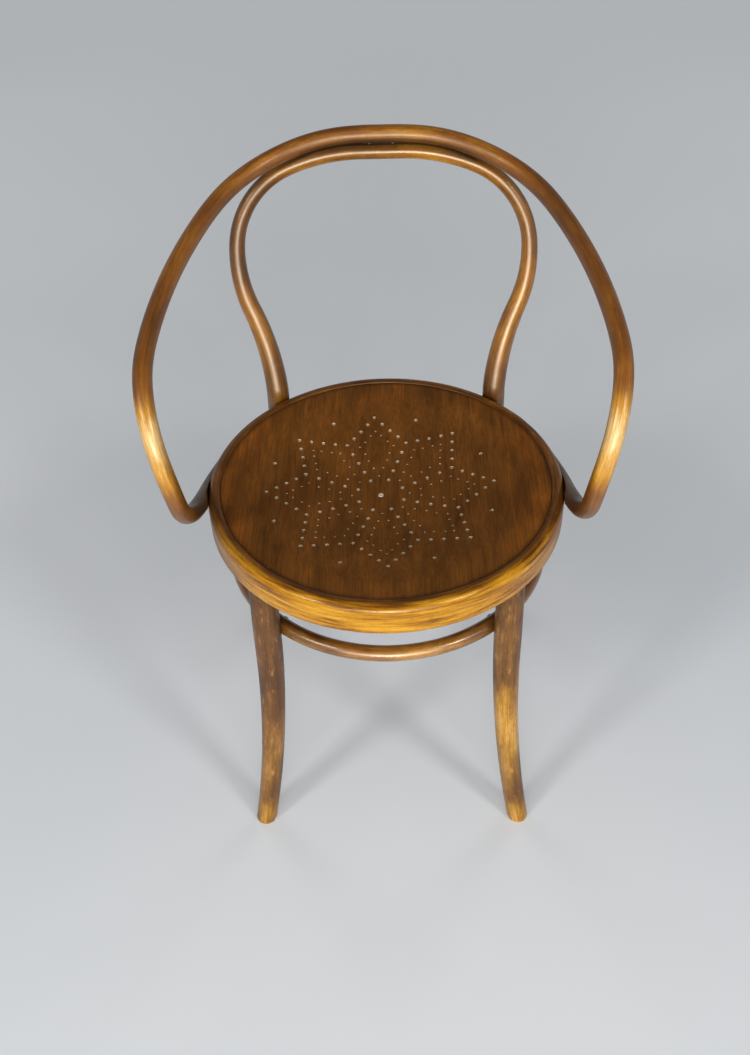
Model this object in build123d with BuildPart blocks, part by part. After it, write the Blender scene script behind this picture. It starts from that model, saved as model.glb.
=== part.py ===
from build123d import *
import os
from math import cos, radians, sin

os.makedirs("parts", exist_ok=True)

# Driving sizes in millimetres. The chair faces -Y, stands on Z = 0 and is centred on X and Y.
overall_depth = 480
seat_radius = 212
seat_height = 457
back_rise = 292
back_half_width = 179
arm_spread = 33
hoop_drop = 124
hoop_inset = 20
hoop_setback = 26
front_flare = 28.5
front_stride = 35
rear_flare = 27
rear_stride = 58

# Radii of the bent rods
arm_radius = 10.3
back_top_radius = 9
back_side_radius = 9.6
back_waist_radius = 11.8
upright_radius = 14.4
rear_foot_radius = 13
leg_top_radius = 15.6
leg_hoop_radius = 16.5
leg_ankle_radius = 14.4
leg_foot_radius = 13.2
hoop_rod_radius = 9.6
hoop_spans = 36
rod_sides = 16

# Seat frame and pressed panel
frame_thickness = 40
frame_width = 38
frame_round = 10
round_facets = 2
frame_bevel = 4
ledge_width = 23
panel_thickness = 4
panel_step = 1.5
panel_gap = 0.5
panel_dish = 12

# Star of holes in the panel
star_points = 8
star_turn = 3.6
star_aside = -6
star_forward = 5
star_tip_reach = 136
star_notch_reach = 96.6
ray_start_reach = 29
outer_hole_reach = 137
star_hole_radius = 2.1
centre_hole_radius = 3.6
holes_per_edge = 4
hole_sides = 6

# Joints: planed flats, tenons, bolts and screws
planed = 2
fit_gap = 0.2
tenon_radius = 11
tenon_length = 20
bolt_radius = 3
bolt_head_radius = 8
bolt_head_height = 3
bolt_dome = 40
bolt_sides = 12
nut_width = 12
nut_thickness = 6
nut_recess = 1
nut_clearance = 1.5
screw_radius = 2.2
screw_head_radius = 4.2
screw_head_height = 2
screw_sink = 1.2
screw_sides = 6
hoop_screw_length = 34
arm_end_screw_length = 42
lap_screw_length = 30
lap_screw_spread = 14
crown_flat = 24
straight_margin = 18
arm_clasp = 1.7
arm_end_drop = 28
arm_screw_drop = 22.5

# Angles round the seat and the leg hoop, from +X, where the pieces meet
rear_angle = 50.7
front_top_angle = -43
front_hoop_angle = -48.5
rear_hoop_angle = 47.5
arm_end_angle = 28.5
arm_screw_angle = 15
lap_angle = 75
bend_rise = 10

# Levels and centres worked out from the sizes above
seat_y = seat_radius - overall_depth / 2
frame_bottom = seat_height - frame_thickness
frame_middle = seat_height - frame_thickness / 2
frame_inner = seat_radius - frame_width
frame_mid_radius = seat_radius - frame_width / 2
ledge_radius = frame_inner + ledge_width
panel_rim_z = seat_height - panel_step
panel_radius = ledge_radius - panel_gap
field_z = panel_rim_z - panel_dish
bolt_z = field_z - panel_thickness - nut_clearance - nut_width / 2
seat_axis = Axis((0, seat_y, 0), (0, 0, 1))
seat_section = Plane((0, seat_y, 0), x_dir=(1, 0, 0), z_dir=(0, -1, 0))
head_clearance = 3 * screw_head_height
on_face = (Align.CENTER, Align.CENTER, Align.MIN)
under_face = (Align.CENTER, Align.CENTER, Align.MAX)


def around(centre_y, reach, angle, height):
    """Point at an angle from +X round a vertical axis that stands at centre_y."""
    turn = radians(angle)
    return Vector(reach * cos(turn), centre_y + reach * sin(turn), height)


def joint_plane(centre_y, reach, angle, height, facing=1):
    """Upright plane square to a radius, facing away from the axis or, with -1, towards it."""
    turn = radians(angle)
    out = Vector(facing * cos(turn), facing * sin(turn), 0)
    return Plane(around(centre_y, reach, angle, height), x_dir=(0, 0, 1), z_dir=out)


def both_sides(angle):
    """An angle on the right of the chair and the same one on the left."""
    return (angle, 180 - angle)


def prism(place, radius, sides):
    """Regular outline on a plane, for a small fastener or the hole that it sits in."""
    with BuildSketch(place) as outline:
        RegularPolygon(radius, sides)
    return outline.sketch


def screw_hole(place):
    """Outline of the hole round a screw."""
    return prism(place, screw_radius + fit_gap, screw_sides)


def head_hole(place):
    """Outline of the sinking for a screw's head, at the underside of the head."""
    return prism(place.offset(-screw_head_height), screw_head_radius + fit_gap, screw_sides)


def rod_stops(edges, counts):
    """Points along a chain of edges, each edge cut into a number of straight spans."""
    stops = [edge @ (step / count) for edge, count in zip(edges, counts) for step in range(count)]
    return stops + [edges[-1] @ 1]


def rod_rings(edges, radii, counts, side, ends):
    """Circles across a chain of edges, tapering along each edge, with the end circles facing given ways."""
    radius_pairs = list(zip(radii, radii[1:]))
    ways = [edge % (step / count) for edge, count in zip(edges, counts) for step in range(count)] + [ends[1]]
    ways[0] = ends[0]
    sizes = [
        start + (end - start) * step / count
        for (start, end), count in zip(radius_pairs, counts)
        for step in range(count)
    ]
    rings = []
    for stop, way, size in zip(rod_stops(edges, counts), ways, sizes + [radii[-1]]):
        with BuildSketch(Plane(stop, x_dir=side, z_dir=way)) as ring:
            RegularPolygon(size, rod_sides)
        rings.append(ring.sketch)
    return rings


# Where the rods meet the seat frame, the leg hoop and each other
rear_reach = seat_radius - planed + upright_radius - planed
upright = around(seat_y, rear_reach, rear_angle, frame_middle)
lap = arm_radius + back_top_radius + fit_gap
lap_out = Vector(0, cos(radians(lap_angle)), sin(radians(lap_angle)))
arm_top = Vector(0, overall_depth / 2 - arm_radius, seat_height + back_rise + lap * lap_out.Z)
back_top = arm_top - lap_out * lap
back_lean = (back_top.Y - upright.Y) / (back_rise - bend_rise)

hoop_y = seat_y + hoop_setback
hoop_z = seat_height - hoop_drop
hoop_radius = seat_radius - hoop_inset
hoop_face = hoop_radius + hoop_rod_radius - planed
front_hoop_joint = around(hoop_y, hoop_face + leg_hoop_radius - planed, front_hoop_angle, hoop_z)
rear_hoop_joint = around(hoop_y, hoop_face + upright_radius - planed, rear_hoop_angle, hoop_z)

front_top = around(seat_y, frame_mid_radius, front_top_angle, frame_bottom)
neck = (front_top - front_hoop_joint).normalized()
front_ankle = front_hoop_joint + Vector(0.36 * front_flare, -0.36 * front_stride, -0.61 * hoop_z)
front_foot = front_hoop_joint + Vector(front_flare, -front_stride, -hoop_z)
shank = (upright - rear_hoop_joint).normalized()
rear_foot = rear_hoop_joint + Vector(rear_flare, rear_stride, -hoop_z)
down = Vector(0, 0, -1)
sideways = Vector(1, 0, 0)


def back_point(x, rise):
    """Point of the back hoop, which leans back from a bend just above the seat."""
    return Vector(x, upright.Y + back_lean * (rise - bend_rise), seat_height + rise)


def arm_point(x, forward, rise):
    """Point of the arm rail, placed forward and up by shares of the seat's radius and the back's height."""
    return Vector(x, seat_y - forward * seat_radius, seat_height + rise * back_rise)


# Centre line of the right half of the back hoop, from the middle of its top to the foot
with BuildLine():
    back_flat = Line(back_top, back_top + sideways * crown_flat)
    back_crown = TangentArc(
        back_flat @ 1, back_point(0.623 * back_half_width, 0.944 * back_rise), tangent=back_flat % 1
    )
    back_corner = TangentArc(
        back_crown @ 1, back_point(back_half_width, 0.638 * back_rise), tangent=back_crown % 1
    )
    back_flank = TangentArc(
        back_corner @ 1, back_point(0.928 * back_half_width, 0.382 * back_rise), tangent=back_corner % 1
    )
    back_waist = TangentArc(
        back_flank @ 1, upright + shank * (frame_thickness / 2 + straight_margin / 2), tangent=back_flank % 1
    )
    rear_shank = Line(back_waist @ 1, rear_hoop_joint - shank * straight_margin)
    rear_shin = TangentArc(rear_shank @ 1, rear_foot, tangent=rear_shank % 1)

back_rings = rod_rings(
    [back_flat, back_crown, back_corner, back_flank, back_waist, rear_shank, rear_shin],
    [back_top_radius, back_top_radius, back_top_radius, back_side_radius, back_waist_radius]
    + [upright_radius, upright_radius, rear_foot_radius],
    [1, 3, 7, 4, 4, 1, 4],
    (0, 1, 0),
    [sideways, down],
)

# Centre line of the right front leg, straight at the leg hoop and curving out to the foot
with BuildLine():
    leg_neck = Line(front_top, front_hoop_joint + neck * straight_margin)
    leg_knee = Line(leg_neck @ 1, front_hoop_joint - neck * straight_margin)
    leg_calf = TangentArc(leg_knee @ 1, front_ankle, tangent=leg_knee % 1)
    leg_sabre = TangentArc(leg_calf @ 1, front_foot, tangent=leg_calf % 1)

leg_rings = rod_rings(
    [leg_neck, leg_knee, leg_calf, leg_sabre],
    [leg_top_radius, leg_hoop_radius, leg_hoop_radius, leg_ankle_radius, leg_foot_radius],
    [1, 1, 3, 4],
    (0, 1, 0),
    [down, down],
)

# Centre line of the right half of the arm rail, from the middle of the back round to the seat frame
arm_half_width = seat_radius + arm_spread
arm_end_reach = seat_radius + arm_clasp
arm_tail = around(seat_y, arm_end_reach, arm_end_angle, seat_height - arm_end_drop)
arm_crown_end = arm_top + Vector(0.41 * arm_half_width, -0.025 * overall_depth, -0.031 * back_rise)
arm_corner_end = arm_top + Vector(0.782 * arm_half_width, -0.193 * overall_depth, -0.137 * back_rise)
with BuildLine():
    arm_flat = Line(arm_top, arm_top + sideways * crown_flat)
    arm_crown = TangentArc(arm_flat @ 1, arm_crown_end, tangent=arm_flat % 1)
    arm_corner = TangentArc(arm_crown @ 1, arm_corner_end, tangent=arm_crown % 1)
    arm_side = TangentArc(arm_corner @ 1, arm_point(arm_half_width, 0.24, 0.74), tangent=arm_corner % 1)
    arm_nose = TangentArc(arm_side @ 1, arm_point(0.99 * arm_half_width, 0.445, 0.665), tangent=arm_side % 1)
    arm_front = TangentArc(arm_nose @ 1, arm_point(0.933 * arm_half_width, 0.613, 0.45), tangent=arm_nose % 1)
    arm_drop = TangentArc(arm_front @ 1, arm_point(arm_end_reach + 8, 0.558, 0.217), tangent=arm_front % 1)
    arm_return = TangentArc(arm_drop @ 1, arm_point(arm_end_reach + 4, 0.262, 0.024), tangent=arm_drop % 1)
    arm_seat = TangentArc(arm_return @ 1, arm_point(arm_end_reach, 0.019, -0.043), tangent=arm_return % 1)
    arm_end = TangentArc(arm_seat @ 1, arm_tail, tangent=arm_seat % 1)

arm_stops = rod_stops(
    [arm_flat, arm_crown, arm_corner, arm_side, arm_nose]
    + [arm_front, arm_drop, arm_return, arm_seat, arm_end],
    [1, 2, 4, 3, 2, 4, 4, 4, 1, 3],
)

# Right half of the leg hoop, whose spans touch the circle of its centre line at their middles
span = 360 / hoop_spans
corner_reach = hoop_radius / cos(radians(span / 2))
hoop_corners = [
    around(hoop_y, corner_reach, (corner + 0.5) * span - 90, hoop_z) for corner in range(hoop_spans // 2)
]
hoop_front = around(hoop_y, hoop_radius, -90, hoop_z)
hoop_back = around(hoop_y, hoop_radius, 90, hoop_z)

# Fastener places: the origin is the seat of the head and Z points out of the head
bolt_seat = rear_reach + upright_radius - bolt_head_height
bolt_length = bolt_seat - frame_inner - nut_recess + nut_thickness + 2
rear_angles = both_sides(rear_angle)
bolt_places = [joint_plane(seat_y, bolt_seat, angle, bolt_z) for angle in rear_angles]
nut_places = [joint_plane(seat_y, frame_inner + nut_recess, angle, bolt_z, -1) for angle in rear_angles]
rear_faces = [joint_plane(seat_y, seat_radius - planed, angle, frame_middle) for angle in rear_angles]

arm_screw_z = seat_height - arm_screw_drop
arm_screw_seat = frame_inner + screw_sink
arm_screw_places = [
    joint_plane(seat_y, arm_screw_seat, angle, arm_screw_z, -1) for angle in both_sides(arm_screw_angle)
]

hoop_angles = both_sides(front_hoop_angle) + both_sides(rear_hoop_angle)
hoop_screw_seat = hoop_radius - hoop_rod_radius + planed
hoop_faces = [joint_plane(hoop_y, hoop_face, angle, hoop_z) for angle in hoop_angles]
hoop_screw_places = [joint_plane(hoop_y, hoop_screw_seat, angle, hoop_z, -1) for angle in hoop_angles]

lap_head = back_top - lap_out * (back_top_radius - screw_sink)
lap_screw_places = [Plane(lap_head + sideways * side * lap_screw_spread, z_dir=-lap_out) for side in (1, -1)]
tenon_places = [
    Plane((side * front_top.X, front_top.Y, front_top.Z), z_dir=(side * neck.X, neck.Y, neck.Z))
    for side in (1, -1)
]

# Seat frame: one bent ring, rounded outside, rebated for the panel and planed for the rear legs
rounding = [radians(90 * step / round_facets) for step in range(round_facets + 1)]
round_centre = seat_radius - frame_round
frame_outline = [
    (frame_inner, frame_bottom),
    (seat_radius - frame_bevel, frame_bottom),
    (seat_radius, frame_bottom + frame_bevel),
    *[
        (round_centre + frame_round * cos(turn), seat_height - frame_round * (1 - sin(turn)))
        for turn in rounding
    ],
    (ledge_radius, seat_height),
    (ledge_radius, panel_rim_z - panel_thickness),
    (frame_inner, panel_rim_z - panel_thickness),
]
with BuildPart() as seat_frame:
    with BuildSketch(seat_section):
        with BuildLine():
            Polyline(*frame_outline, close=True)
        make_face()
    revolve(axis=seat_axis)
    with Locations(*rear_faces):
        Box(2 * frame_thickness, 2 * frame_width, 4 * planed, align=on_face, mode=Mode.SUBTRACT)
    with Locations(*nut_places):
        Box(nut_width + 4, nut_width + 4, nut_width, align=on_face, mode=Mode.SUBTRACT)
    with Locations(*tenon_places):
        Cylinder(tenon_radius + fit_gap, 2 * tenon_length + 2, mode=Mode.SUBTRACT)
    for place in bolt_places:
        extrude(prism(place, bolt_radius + fit_gap, bolt_sides), amount=-bolt_length, mode=Mode.SUBTRACT)
    for place in arm_screw_places:
        extrude(screw_hole(place), amount=-arm_end_screw_length, mode=Mode.SUBTRACT)
        extrude(head_hole(place), amount=head_clearance, mode=Mode.SUBTRACT)
seat_frame.part.label = "seat_frame"
export_step(seat_frame.part, "parts/seat_frame.step")

# Seat panel: pressed plywood with a flat rim and a dished middle, and the star drilled through it
half_point = 180 / star_points
ray_pitch = (star_notch_reach - ray_start_reach) / holes_per_edge
star_holes = []
for point in range(star_points):
    tip_angle = 90 + star_turn + 2 * half_point * point
    ray_angle = tip_angle + half_point
    tip = around(0, star_tip_reach, tip_angle, 0)
    star_holes.append(tip)
    for notch_angle in (tip_angle - half_point, ray_angle):
        notch = around(0, star_notch_reach, notch_angle, 0)
        star_holes += [tip + (notch - tip) * (hole / holes_per_edge) for hole in range(1, holes_per_edge)]
    ray_reaches = [ray_start_reach + hole * ray_pitch for hole in range(holes_per_edge + 1)]
    star_holes += [around(0, reach, ray_angle, 0) for reach in ray_reaches + [outer_hole_reach]]

field_radius = outer_hole_reach + abs(star_aside) + abs(star_forward) + star_hole_radius
dish_radius = frame_inner - 2
panel_top = [(0, field_z), (field_radius, field_z), (dish_radius, panel_rim_z), (panel_radius, panel_rim_z)]
with BuildPart() as seat_panel:
    with BuildSketch(seat_section):
        with BuildLine():
            Polyline(*panel_top, *[(x, z - panel_thickness) for x, z in reversed(panel_top)], close=True)
        make_face()
    revolve(axis=seat_axis)
    with BuildSketch(Plane((star_aside, seat_y - star_forward, panel_rim_z))):
        with Locations(*star_holes):
            RegularPolygon(star_hole_radius, hole_sides)
        RegularPolygon(centre_hole_radius, 2 * hole_sides)
    extrude(amount=-2 * (panel_dish + panel_thickness), mode=Mode.SUBTRACT)
seat_panel.part.label = "seat_panel"
export_step(seat_panel.part, "parts/seat_panel.step")

# Back hoop: both rear legs and the back, bent from one tapered rod
with BuildPart() as back_hoop:
    loft(sections=back_rings, ruled=True)
    mirror(about=Plane.YZ)
    with Locations(*rear_faces):
        Box(frame_thickness + 6, 2 * upright_radius, 4 * planed, align=under_face, mode=Mode.SUBTRACT)
    with Locations(*hoop_faces[2:]):
        Box(3 * hoop_rod_radius, 2 * upright_radius, 4 * planed, align=under_face, mode=Mode.SUBTRACT)
    for place in bolt_places:
        extrude(prism(place, bolt_radius + fit_gap, bolt_sides), amount=-bolt_length, mode=Mode.SUBTRACT)
        seat_of_head = prism(place, bolt_head_radius + fit_gap, bolt_sides)
        extrude(seat_of_head, amount=upright_radius, mode=Mode.SUBTRACT)
    for place in hoop_screw_places[2:]:
        extrude(screw_hole(place), amount=-hoop_screw_length - 1, mode=Mode.SUBTRACT)
    for place in lap_screw_places:
        extrude(screw_hole(place), amount=-lap_screw_length, mode=Mode.SUBTRACT)
        extrude(head_hole(place), amount=head_clearance, mode=Mode.SUBTRACT)
back_hoop.part.label = "back_hoop"
export_step(back_hoop.part, "parts/back_hoop.step")

# Arm rail: one round rod, hollowed where its ends clasp the seat frame
with BuildPart() as arm_rail:
    with BuildLine() as arm_way:
        Polyline(*arm_stops)
    with BuildSketch(Plane(arm_top, z_dir=sideways)):
        RegularPolygon(arm_radius, rod_sides)
    sweep(path=arm_way.line, transition=Transition.RIGHT)
    mirror(about=Plane.YZ)
    with Locations((0, seat_y, frame_middle)):
        Cylinder(seat_radius + fit_gap, 3 * frame_thickness, mode=Mode.SUBTRACT)
    for place in arm_screw_places:
        extrude(screw_hole(place), amount=-arm_end_screw_length - 1, mode=Mode.SUBTRACT)
    for place in lap_screw_places:
        extrude(screw_hole(place), amount=-lap_screw_length - 1, mode=Mode.SUBTRACT)
arm_rail.part.label = "arm_rail"
export_step(arm_rail.part, "parts/arm_rail.step")

# Front legs: turned and bent, with a round tenon in the seat frame and a flat for the leg hoop
with BuildPart() as front_leg_right:
    loft(sections=leg_rings, ruled=True)
    with Locations(tenon_places[0]):
        Cylinder(tenon_radius, 2 * tenon_length)
    with Locations(hoop_faces[0]):
        Box(3 * hoop_rod_radius, 2 * leg_hoop_radius, 4 * planed, align=under_face, mode=Mode.SUBTRACT)
    extrude(screw_hole(hoop_screw_places[0]), amount=-hoop_screw_length - 1, mode=Mode.SUBTRACT)
front_leg_right.part.label = "front_leg_right"
export_step(front_leg_right.part, "parts/front_leg_right.step")

with BuildPart() as front_leg_left:
    mirror(front_leg_right.part, about=Plane.YZ)
front_leg_left.part.label = "front_leg_left"
export_step(front_leg_left.part, "parts/front_leg_left.step")

# Leg hoop: a bent ring inside the four legs, planed at each of them
with BuildPart() as leg_hoop:
    with BuildLine() as hoop_way:
        Polyline(hoop_front, *hoop_corners, hoop_back)
    with BuildSketch(Plane(hoop_front, z_dir=sideways)):
        RegularPolygon(hoop_rod_radius, rod_sides)
    sweep(path=hoop_way.line, transition=Transition.RIGHT)
    mirror(about=Plane.YZ)
    with Locations(*hoop_faces):
        Box(3 * hoop_rod_radius, 6 * hoop_rod_radius, hoop_rod_radius, align=on_face, mode=Mode.SUBTRACT)
    for place in hoop_screw_places:
        extrude(screw_hole(place), amount=-hoop_screw_length, mode=Mode.SUBTRACT)
        extrude(head_hole(place), amount=head_clearance, mode=Mode.SUBTRACT)
leg_hoop.part.label = "leg_hoop"
export_step(leg_hoop.part, "parts/leg_hoop.step")

# Bolts through the rear legs, with square nuts let into the inside of the seat frame
with BuildPart() as back_bolts:
    for place in bolt_places:
        extrude(prism(place, bolt_head_radius, bolt_sides), amount=bolt_head_height, taper=bolt_dome)
        extrude(prism(place, bolt_radius, bolt_sides), amount=-bolt_length)
back_bolts.part.label = "back_bolts"
export_step(back_bolts.part, "parts/back_bolts.step")

with BuildPart() as back_nuts:
    for place in nut_places:
        with BuildSketch(place):
            Rectangle(nut_width, nut_width)
            RegularPolygon(bolt_radius + fit_gap, bolt_sides, mode=Mode.SUBTRACT)
        extrude(amount=nut_thickness)
back_nuts.part.label = "back_nuts"
export_step(back_nuts.part, "parts/back_nuts.step")

# Wood screws: leg hoop to legs, seat frame to arm ends and back hoop to arm rail
with BuildPart() as leg_hoop_screws:
    for place in hoop_screw_places:
        extrude(prism(place, screw_head_radius, screw_sides), amount=-screw_head_height)
        extrude(prism(place, screw_radius, screw_sides), amount=-hoop_screw_length)
leg_hoop_screws.part.label = "leg_hoop_screws"
export_step(leg_hoop_screws.part, "parts/leg_hoop_screws.step")

with BuildPart() as arm_end_screws:
    for place in arm_screw_places:
        extrude(prism(place, screw_head_radius, screw_sides), amount=-screw_head_height)
        extrude(prism(place, screw_radius, screw_sides), amount=-arm_end_screw_length)
arm_end_screws.part.label = "arm_end_screws"
export_step(arm_end_screws.part, "parts/arm_end_screws.step")

with BuildPart() as lap_screws:
    for place in lap_screw_places:
        extrude(prism(place, screw_head_radius, screw_sides), amount=-screw_head_height)
        extrude(prism(place, screw_radius, screw_sides), amount=-lap_screw_length)
lap_screws.part.label = "lap_screws"
export_step(lap_screws.part, "parts/lap_screws.step")
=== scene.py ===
from math import asin, atan2, cos, exp, hypot, pi, radians, sin

import bpy
from mathutils import Matrix, Vector
from mathutils.geometry import delaunay_2d_cdt


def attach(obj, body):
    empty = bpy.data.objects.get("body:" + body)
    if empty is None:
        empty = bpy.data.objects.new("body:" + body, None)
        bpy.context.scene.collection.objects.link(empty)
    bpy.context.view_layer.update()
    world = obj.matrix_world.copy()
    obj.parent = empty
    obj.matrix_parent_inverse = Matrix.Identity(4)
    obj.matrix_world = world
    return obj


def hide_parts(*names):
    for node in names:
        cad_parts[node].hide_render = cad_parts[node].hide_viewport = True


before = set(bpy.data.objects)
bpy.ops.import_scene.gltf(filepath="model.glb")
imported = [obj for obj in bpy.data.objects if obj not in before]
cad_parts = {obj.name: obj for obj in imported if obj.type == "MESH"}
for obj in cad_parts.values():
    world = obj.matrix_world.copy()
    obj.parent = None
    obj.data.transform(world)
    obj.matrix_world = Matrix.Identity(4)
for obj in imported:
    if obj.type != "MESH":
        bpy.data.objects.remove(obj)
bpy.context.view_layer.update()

# Driving sizes in millimetres, the same as those of the solids
overall_depth = 480
seat_radius = 212
seat_height = 457
back_rise = 292
back_half_width = 179
arm_spread = 33
hoop_drop = 124
hoop_inset = 20
hoop_setback = 26
front_flare = 28.5
front_stride = 35
rear_flare = 27
rear_stride = 58
planed = 2
fit_gap = 0.2
crown_flat = 24
straight_margin = 18
bend_rise = 10
arm_clasp = 1.7
arm_end_drop = 28
arm_screw_drop = 22.5

# Radii of the bent rods
arm_radius = 10.3
back_top_radius = 9
back_side_radius = 9.6
back_waist_radius = 11.8
upright_radius = 14.4
rear_foot_radius = 13
leg_top_radius = 15.6
leg_hoop_radius = 16.5
leg_ankle_radius = 14.4
leg_foot_radius = 13.2
hoop_rod_radius = 9.6

# Seat frame and panel. The panel is thinner and its dish is deeper than in the solids
frame_thickness = 40
frame_width = 38
ledge_width = 23
ledge_drop = 4
panel_step = 1.5
panel_gap = 0.5
panel_thickness = 3.4
panel_dish = 20

# Angles of the joints, in degrees from +X round the seat or the leg hoop: right side first, then left
seat_joint = 50.7
rear_hoop_joint = 47.5
front_hoop_joint = -48.5
front_top_angle = -43
arm_end_angle = 28.5
seat_joints = (seat_joint, 180 - seat_joint)
rear_hoop_joints = (rear_hoop_joint, 180 - rear_hoop_joint)
front_hoop_joints = (front_hoop_joint, 180 - front_hoop_joint)

# Slope of the line from the back hoop to the arm rail at the crest, in degrees up from +Y
lap_angle = 75

# Levels, centres and reaches worked out from the sizes above
seat_y = seat_radius - overall_depth / 2
frame_middle = seat_height - frame_thickness / 2
frame_bottom = seat_height - frame_thickness
frame_inner = seat_radius - frame_width
frame_mid_radius = seat_radius - frame_width / 2
frame_face = seat_radius - planed
ledge_radius = frame_inner + ledge_width
panel_radius = ledge_radius - panel_gap
panel_rim_z = seat_height - panel_step
ledge_z = panel_rim_z - ledge_drop
arm_half_width = seat_radius + arm_spread
arm_end_reach = seat_radius + arm_clasp
hoop_y = seat_y + hoop_setback
hoop_z = seat_height - hoop_drop
hoop_radius = seat_radius - hoop_inset
hoop_face = hoop_radius + hoop_rod_radius - planed
sideways = Vector((1, 0, 0))

# Fineness of the meshes, which are in metres
rod_sides = 48
ring_spans = 288
line_step = 4
taper_window = 8
straight_lean = 1e-4
millimetre = 0.001


def around(centre_y, reach, angle, height):
    """Point at an angle in degrees from +X round a vertical axis at centre_y."""
    turn = radians(angle)
    return Vector((reach * cos(turn), centre_y + reach * sin(turn), height))


# Places where the rods meet the seat frame, the leg hoop and each other
upright = around(seat_y, seat_radius + upright_radius - 2 * planed, seat_joint, frame_middle)
lap = arm_radius + back_top_radius + fit_gap
lap_out = Vector((0, cos(radians(lap_angle)), sin(radians(lap_angle))))
arm_top = Vector((0, overall_depth / 2 - arm_radius, seat_height + back_rise + lap * lap_out.z))
back_top = arm_top - lap_out * lap
back_lean = (back_top.y - upright.y) / (back_rise - bend_rise)
front_joint = around(hoop_y, hoop_face + leg_hoop_radius - planed, front_hoop_joint, hoop_z)
rear_joint = around(hoop_y, hoop_face + upright_radius - planed, rear_hoop_joint, hoop_z)
front_top = around(seat_y, frame_mid_radius, front_top_angle, frame_bottom)
neck = (front_top - front_joint).normalized()
shank = (upright - rear_joint).normalized()
ankle_out, ankle_down = 0.36, 0.61
front_ankle = front_joint + Vector(
    (ankle_out * front_flare, -ankle_out * front_stride, -ankle_down * hoop_z)
)
front_foot = front_joint + Vector((front_flare, -front_stride, -hoop_z))
rear_foot = rear_joint + Vector((rear_flare, rear_stride, -hoop_z))


def back_point(x, rise):
    """Point of the back hoop in its leaning plane."""
    return Vector((x, upright.y + back_lean * (rise - bend_rise), seat_height + rise))


def arm_point(x, forward, rise):
    """Point of the arm rail, placed by shares of the seat's radius and the back's height."""
    return Vector((x, seat_y - forward * seat_radius, seat_height + rise * back_rise))


def arc_points(start, way, end):
    """Points after start on the arc that leaves it along way and reaches end, and the direction there."""
    chord = end - start
    lean = way.angle(chord)
    if lean < straight_lean:
        count = max(1, round(chord.length / line_step))
        return [start + chord * (k / count) for k in range(1, count + 1)], way
    radius = chord.length / (2 * sin(lean))
    inward = (chord.normalized() - way * cos(lean)).normalized()
    count = max(2, round(2 * lean * radius / line_step))
    turns = [2 * lean * k / count for k in range(1, count + 1)]
    points = [start + way * (radius * sin(t)) + inward * (radius * (1 - cos(t))) for t in turns]
    return points, way * cos(2 * lean) + inward * sin(2 * lean)


def rod_line(knots, way, radii, straight=None):
    """Points and radii along arcs from knot to knot, one span straight, with the tapers eased."""
    line, sizes = [knots[0]], [radii[0]]
    for number, (end, first, last) in enumerate(zip(knots[1:], radii, radii[1:])):
        if number == straight:
            way = (end - line[-1]).normalized()
        points, way = arc_points(line[-1], way, end)
        line += points
        sizes += [first + (last - first) * k / len(points) for k in range(1, len(points) + 1)]
    eased = []
    for k in range(len(sizes)):
        near = sizes[max(0, k - taper_window):k + taper_window + 1]
        eased.append(sum(near) / len(near))
    return line, eased, way


def mirrored(points):
    """The same points on the other side of the chair."""
    return [Vector((-p.x, p.y, p.z)) for p in points]


def ease(value, low, high):
    """Smooth step from 0 at low to 1 at high."""
    t = min(1, max(0, (value - low) / (high - low)))
    return t * t * (3 - 2 * t)


def finish_piece(name, points, faces, grains, node, material, marks, sharp=50):
    """Mesh in metres with the wood's own coordinates on its corners and wear and grime with painted shade
    on its points.

    Edges that turn by more than sharp degrees aren't smoothed.
    """
    mesh = bpy.data.meshes.new(name)
    mesh.from_pydata([p * millimetre for p in points], [], faces)
    grain = mesh.attributes.new("grain", "FLOAT_VECTOR", "CORNER")
    grain.data.foreach_set("vector", [c * millimetre for corners in grains for g in corners for c in g])
    for label, values in zip(("wear", "grime_and_shade"), zip(*marks)):
        layer = mesh.attributes.new(label, "FLOAT", "POINT")
        layer.data.foreach_set("value", values)
    mesh.validate()
    mesh.polygons.foreach_set("use_smooth", [True] * len(mesh.polygons))
    mesh.set_sharp_from_angle(angle=radians(sharp))
    piece = bpy.data.objects.new(name, mesh)
    bpy.context.scene.collection.objects.link(piece)
    mesh.materials.append(material)
    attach(piece, "root")
    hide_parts(node)
    return piece


def tube(name, line, sizes, shape, node, material, worn):
    """Round rod along a line. shape moves its points where it is planed or meets the floor."""
    sides = rod_sides
    count = len(line)
    ways = [(line[min(k + 1, count - 1)] - line[max(k - 1, 0)]).normalized() for k in range(count)]
    across = ways[0].orthogonal().normalized()
    points, marks, grain_rows = [], [], []
    along = 0
    for k, (centre, size, way) in enumerate(zip(line, sizes, ways)):
        if k:
            across = ways[k - 1].rotation_difference(way) @ across
            along += (centre - line[k - 1]).length
        across = (across - way * across.dot(way)).normalized()
        side = way.cross(across)
        row = []
        for s in range(sides):
            turn = 2 * pi * s / sides
            spread = across * (size * cos(turn)) + side * (size * sin(turn))
            points.append(shape(centre + spread, centre, way))
            marks.append(worn(points[-1], spread / size))
            row.append((along, size * cos(turn), size * sin(turn)))
        grain_rows.append(row)
    faces, grains = [], []
    for k in range(count - 1):
        for s in range(sides):
            t = (s + 1) % sides
            faces.append((k * sides + s, k * sides + t, (k + 1) * sides + t, (k + 1) * sides + s))
            here, there = grain_rows[k], grain_rows[k + 1]
            grains.append((here[s], here[t], there[t], there[s]))
    faces.append(tuple(reversed(range(sides))))
    grains.append(tuple(reversed(grain_rows[0])))
    last = (count - 1) * sides
    faces.append(tuple(range(last, last + sides)))
    grains.append(tuple(grain_rows[-1]))
    finish_piece(name, points, faces, grains, node, material, marks)


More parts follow.
